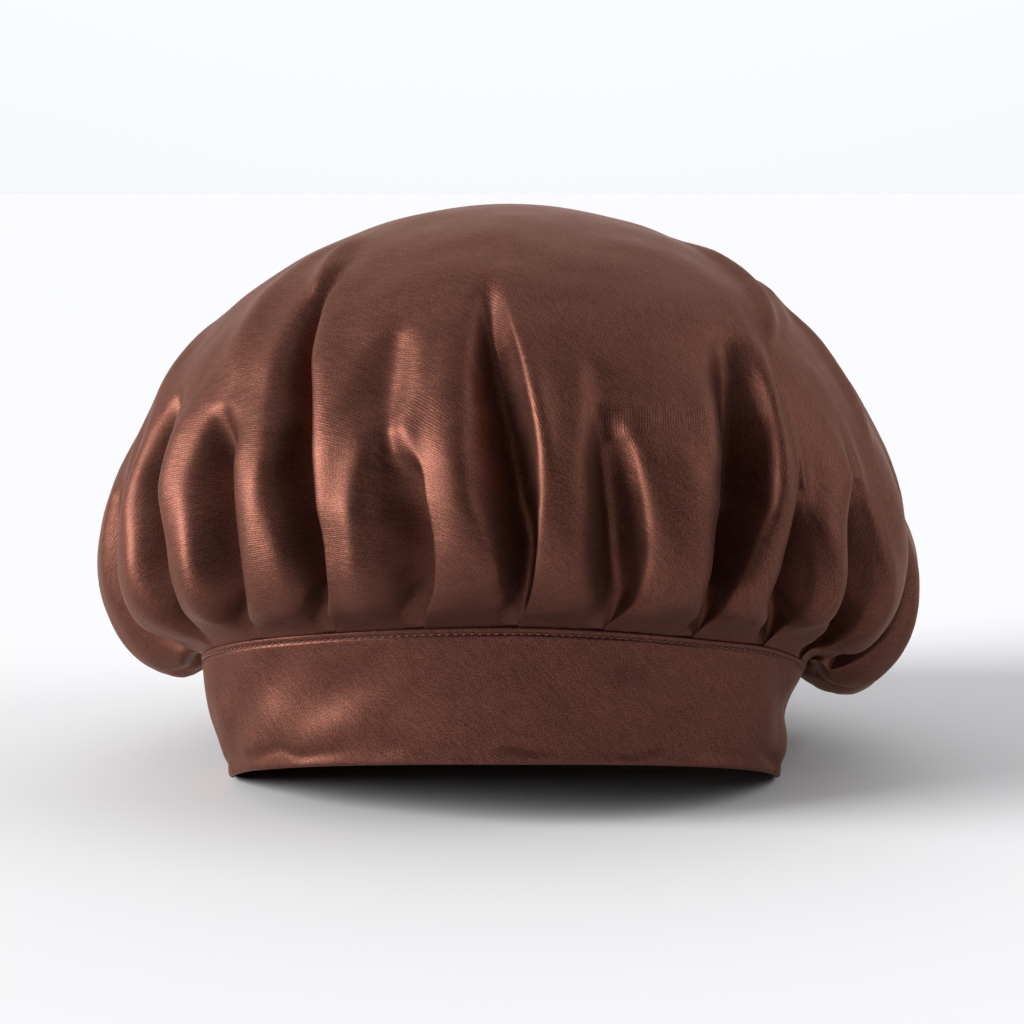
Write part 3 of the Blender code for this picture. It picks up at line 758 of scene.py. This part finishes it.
def make_stitches(middle, material):
    # One row of topstitching: short threads that dip into the cloth at both ends
    fine = np.linspace(0, 2 * np.pi, 2881)
    line = band_outer(fine, BAND_HEIGHT * by_angle(fine, "rise") - WELT_HEIGHT)
    run = np.concatenate([[0], np.cumsum(np.linalg.norm(np.diff(line, axis=0), axis=1))])
    count = round(run[-1] / STITCH_PITCH)
    starts = np.arange(count) * run[-1] / count
    points, faces = [], []
    along = np.linspace(0, 1, 7)
    sides = np.arange(6) * np.pi / 3
    for start in starts:
        at = (start + along * STITCH) % run[-1]
        turn = np.interp(at, run, fine)
        # Each thread lies a little aslant
        height = BAND_HEIGHT * by_angle(turn, "rise") - WELT_HEIGHT + (along - .5) * .0006
        spine = band_outer(turn, height)
        away = np.stack([np.sin(turn), -np.cos(turn), 0 * turn], -1)
        spine = spine + away * (THREAD * (.75 * np.sin(np.pi * along) - .25))[:, None]
        fat = THREAD / 2 * np.sqrt(np.clip(np.sin(np.pi * np.clip(along, .04, .96)), 0, 1))
        first = len(points)
        for k in range(len(along)):
            for side in sides:
                round_it = away[k] * math.cos(side) + np.array([0, 0, math.sin(side)])
                points.append(spine[k] + fat[k] * round_it)
        for k in range(len(along) - 1):
            for m in range(6):
                n = (m + 1) % 6
                a, b = first + 6 * k, first + 6 * (k + 1)
                faces.append((a + m, a + n, b + n, b + m))
        faces.append(tuple(first + m for m in range(5, -1, -1)))
        faces.append(tuple(first + 6 * (len(along) - 1) + m for m in range(6)))
    return mesh_piece("band_topstitch", np.array(points) - middle, faces, material)


middle = solid_middle()
crown_satin = satin("crown_satin", CROWN_COLOUR, CROWN_TWILL_TURN)
band_satin = satin("band_satin", BAND_COLOUR, BAND_TWILL_TURN)
thread = plain_thread("sewing_thread", THREAD_COLOUR)
crown = make_crown(middle, crown_satin)
band = make_band(middle, band_satin)
topstitch = make_stitches(middle, thread)

for piece, node, slot in ((crown, "crown", "crown_satin"), (band, "band", "band_satin")):
    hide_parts(node)
    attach(piece, "root")
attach(topstitch, "root")


# Floor, light and camera
FLOOR_HALF = 60
FLOOR_COLOUR = (.795, .795, .805, 1)
FLOOR_ROUGH = .9

# Soft lights that are far away: where each stands, seen from the hat; its width in degrees; its strength
LIGHTS = (
    ("name", "place", "spread", "strength"),
    ("left_soft", (-1.25, -.36, .46), 30, 4.5),
    ("low_left_soft", (-1.2, -.45, .14), 50, .9),
    ("right_soft", (1.15, -.10, .70), 40, .7),
)

# The room's own light: its level, and how much it grows upward and away from the camera
ROOM_LEVEL = .31
ROOM_UPWARD = .42
ROOM_BACKWARD = .66
ROOM_COLOUR = (.97, .98, 1, 1)

CAMERA_PLACE = (.0009, -.891, .2117)
CAMERA_DOWN = 7.7
LENS = 85
SENSOR = 36


def plain_material(name, colour, roughness):
    mat = bpy.data.materials.new(name)
    mat.use_nodes = True
    shader = mat.node_tree.nodes["Principled BSDF"]
    shader.inputs["Base Color"].default_value = colour
    shader.inputs["Roughness"].default_value = roughness
    shader.inputs["Specular IOR Level"].default_value = 0
    return mat


def make_floor():
    # A pale floor that runs on until it meets the equally pale room
    corners = [(FLOOR_HALF * x, FLOOR_HALF * y, 0) for x, y in ((-1, -1), (1, -1), (1, 1), (-1, 1))]
    mesh = bpy.data.meshes.new("floor")
    mesh.from_pydata(corners, [], [(0, 1, 2, 3)])
    mesh.materials.append(plain_material("pale_floor", FLOOR_COLOUR, FLOOR_ROUGH))
    floor = bpy.data.objects.new("floor", mesh)
    bpy.context.scene.collection.objects.link(floor)


def wide_sun(name, place, spread, strength):
    # A soft light that is far away, so that it lies evenly on the whole floor
    light = bpy.data.lights.new(name, "SUN")
    light.angle = math.radians(spread)
    light.energy = strength
    holder = bpy.data.objects.new(name, light)
    holder.rotation_euler = (-Vector(place)).to_track_quat("-Z", "Y").to_euler()
    bpy.context.scene.collection.objects.link(holder)


def make_world(level, upward, backward):
    # An even white room, brightest overhead and behind, and dark on the side of the camera
    world = bpy.data.worlds.new("studio")
    world.use_nodes = True
    tree = world.node_tree
    room = tree.nodes["Background"]
    room.inputs["Color"].default_value = ROOM_COLOUR
    place = tree.nodes.new("ShaderNodeTexCoord")
    share = tree.nodes.new("ShaderNodeVectorMath")
    share.operation = "DOT_PRODUCT"
    share.inputs[1].default_value = (0, backward, upward)
    total = tree.nodes.new("ShaderNodeMath")
    total.operation = "ADD"
    total.inputs[1].default_value = level
    above = tree.nodes.new("ShaderNodeMath")
    above.operation = "MAXIMUM"
    above.inputs[1].default_value = 0
    tree.links.new(place.outputs["Generated"], share.inputs[0])
    tree.links.new(share.outputs["Value"], total.inputs[0])
    tree.links.new(total.outputs["Value"], above.inputs[0])
    tree.links.new(above.outputs["Value"], room.inputs["Strength"])
    bpy.context.scene.world = world


make_floor()
for name, place, spread, strength in LIGHTS[1:]:
    wide_sun(name, place, spread, strength)
make_world(ROOM_LEVEL, ROOM_UPWARD, ROOM_BACKWARD)

lens = bpy.data.cameras.new("camera")
lens.lens = LENS
lens.sensor_width = SENSOR
camera = bpy.data.objects.new("camera", lens)
camera.location = np.array(CAMERA_PLACE) - middle
camera.rotation_euler = (math.radians(90 - CAMERA_DOWN), 0, 0)
bpy.context.scene.collection.objects.link(camera)
bpy.context.scene.camera = camera
bpy.context.scene.view_settings.view_transform = "Standard"
